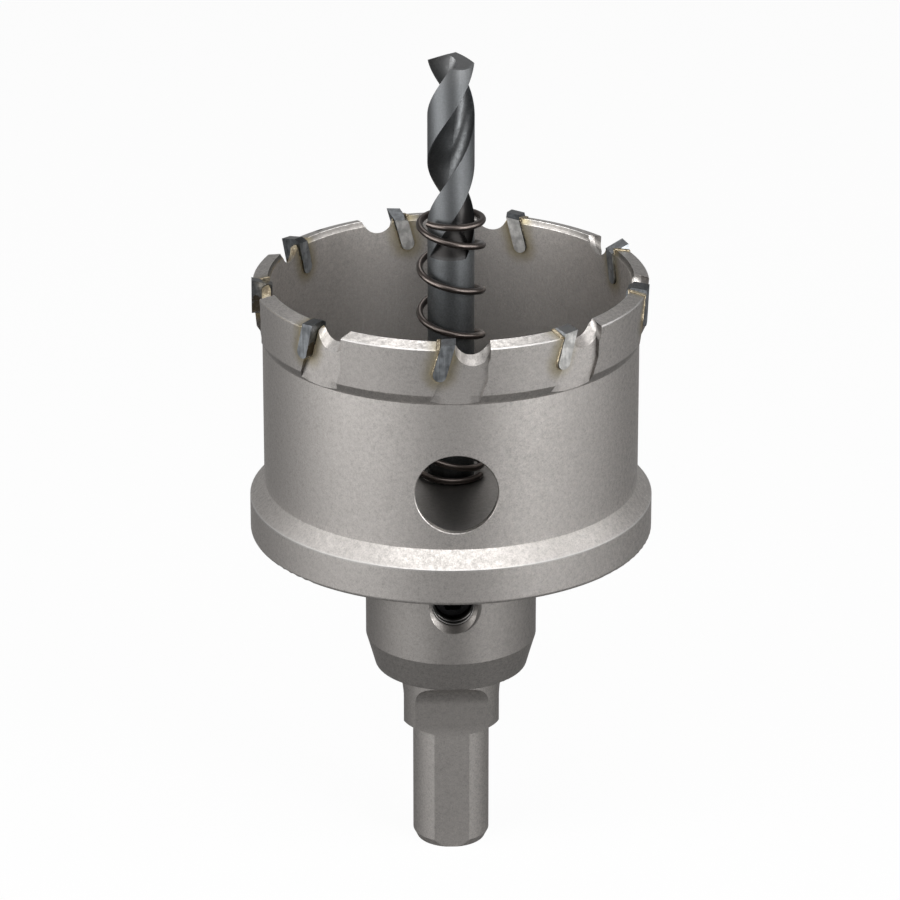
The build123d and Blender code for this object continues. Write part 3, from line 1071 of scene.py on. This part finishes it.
# Camera, floor, background and lamps
def face_toward(thing, place, aim):
    """Set a camera or lamp in its place, looking at a point."""
    thing.location = place
    thing.rotation_euler = (Vector(aim) - Vector(place)).to_track_quat("-Z", "Y").to_euler()


def set_camera():
    data = bpy.data.cameras.new("camera")
    data.sensor_width = SENSOR_WIDTH
    data.lens = FOCAL_PIXELS / PHOTO_WIDTH * SENSOR_WIDTH
    data.clip_start = 0.01
    camera = bpy.data.objects.new("camera", data)
    bpy.context.scene.collection.objects.link(camera)
    aim = Vector((0, 0, AIM_HEIGHT)) - forward(CAMERA_AZIMUTH) * AIM_SHIFT
    away = outward(CAMERA_AZIMUTH) * CAMERA_DISTANCE * cos(CAMERA_PITCH)
    above = Vector((0, 0, CAMERA_DISTANCE * sin(CAMERA_PITCH)))
    face_toward(camera, aim + away + above, aim)
    bpy.context.scene.camera = camera


def background_strength(tree, seen, mirrored, other):
    """Strength of the white background for the camera, in the metal, and as light."""
    path = tree.nodes.new("ShaderNodeLightPath").outputs
    direct = product(tree, path["Is Camera Ray"], seen)
    shine = math_node(tree, "MAXIMUM", path["Is Glossy Ray"], path["Is Transmission Ray"])
    shine = product(tree, shine, mirrored)
    return math_node(tree, "MAXIMUM", math_node(tree, "ADD", direct, shine), other)


def set_floor():
    bpy.ops.object.select_all(action="DESELECT")
    bpy.ops.mesh.primitive_plane_add(size=FLOOR_SIZE, location=(0, 0, 0))
    floor = bpy.context.active_object
    floor.name = "floor"
    material, tree, shader, coordinates = new_material("floor_white", 0.0, 0.8, FLOOR_COLOR)
    glow = tree.nodes.new("ShaderNodeEmission")
    away = axes(tree, coordinates["Object"])["Y"]
    behind = fade_in(tree, away, FLOOR_SHINE_START, FLOOR_SHINE)
    feed(tree, glow.inputs["Strength"], background_strength(tree, 1.0, behind, 0.0))
    blend = tree.nodes.new("ShaderNodeMixShader")
    share = background_strength(tree, FLOOR_WHITE_SEEN, FLOOR_WHITE_MIRRORED, 0.0)
    tree.links.new(share, blend.inputs[0])
    tree.links.new(shader.outputs[0], blend.inputs[1])
    tree.links.new(glow.outputs[0], blend.inputs[2])
    tree.links.new(blend.outputs[0], tree.nodes["Material Output"].inputs["Surface"])
    floor.data.materials.append(material)


def set_background():
    world = bpy.data.worlds.new("studio")
    world.use_nodes = True
    tree = world.node_tree
    background = tree.nodes["Background"].inputs
    background["Color"].default_value = rgb(1, 1, 1)
    tree.links.new(
        background_strength(tree, 1.0, WORLD_SHINE, WORLD_LIGHT), background["Strength"]
    )
    bpy.context.scene.world = world


def set_lamps():
    for name, place, width, height, watts in LAMPS:
        data = bpy.data.lights.new(name, "AREA")
        data.shape = "RECTANGLE"
        data.size = width
        data.size_y = height
        data.energy = watts
        lamp = bpy.data.objects.new(name, data)
        bpy.context.scene.collection.objects.link(lamp)
        face_toward(lamp, place, LAMP_AIM)


dress_solids()
add_pieces()
set_camera()
set_floor()
set_background()
set_lamps()
bpy.context.scene.view_settings.view_transform = "Standard"
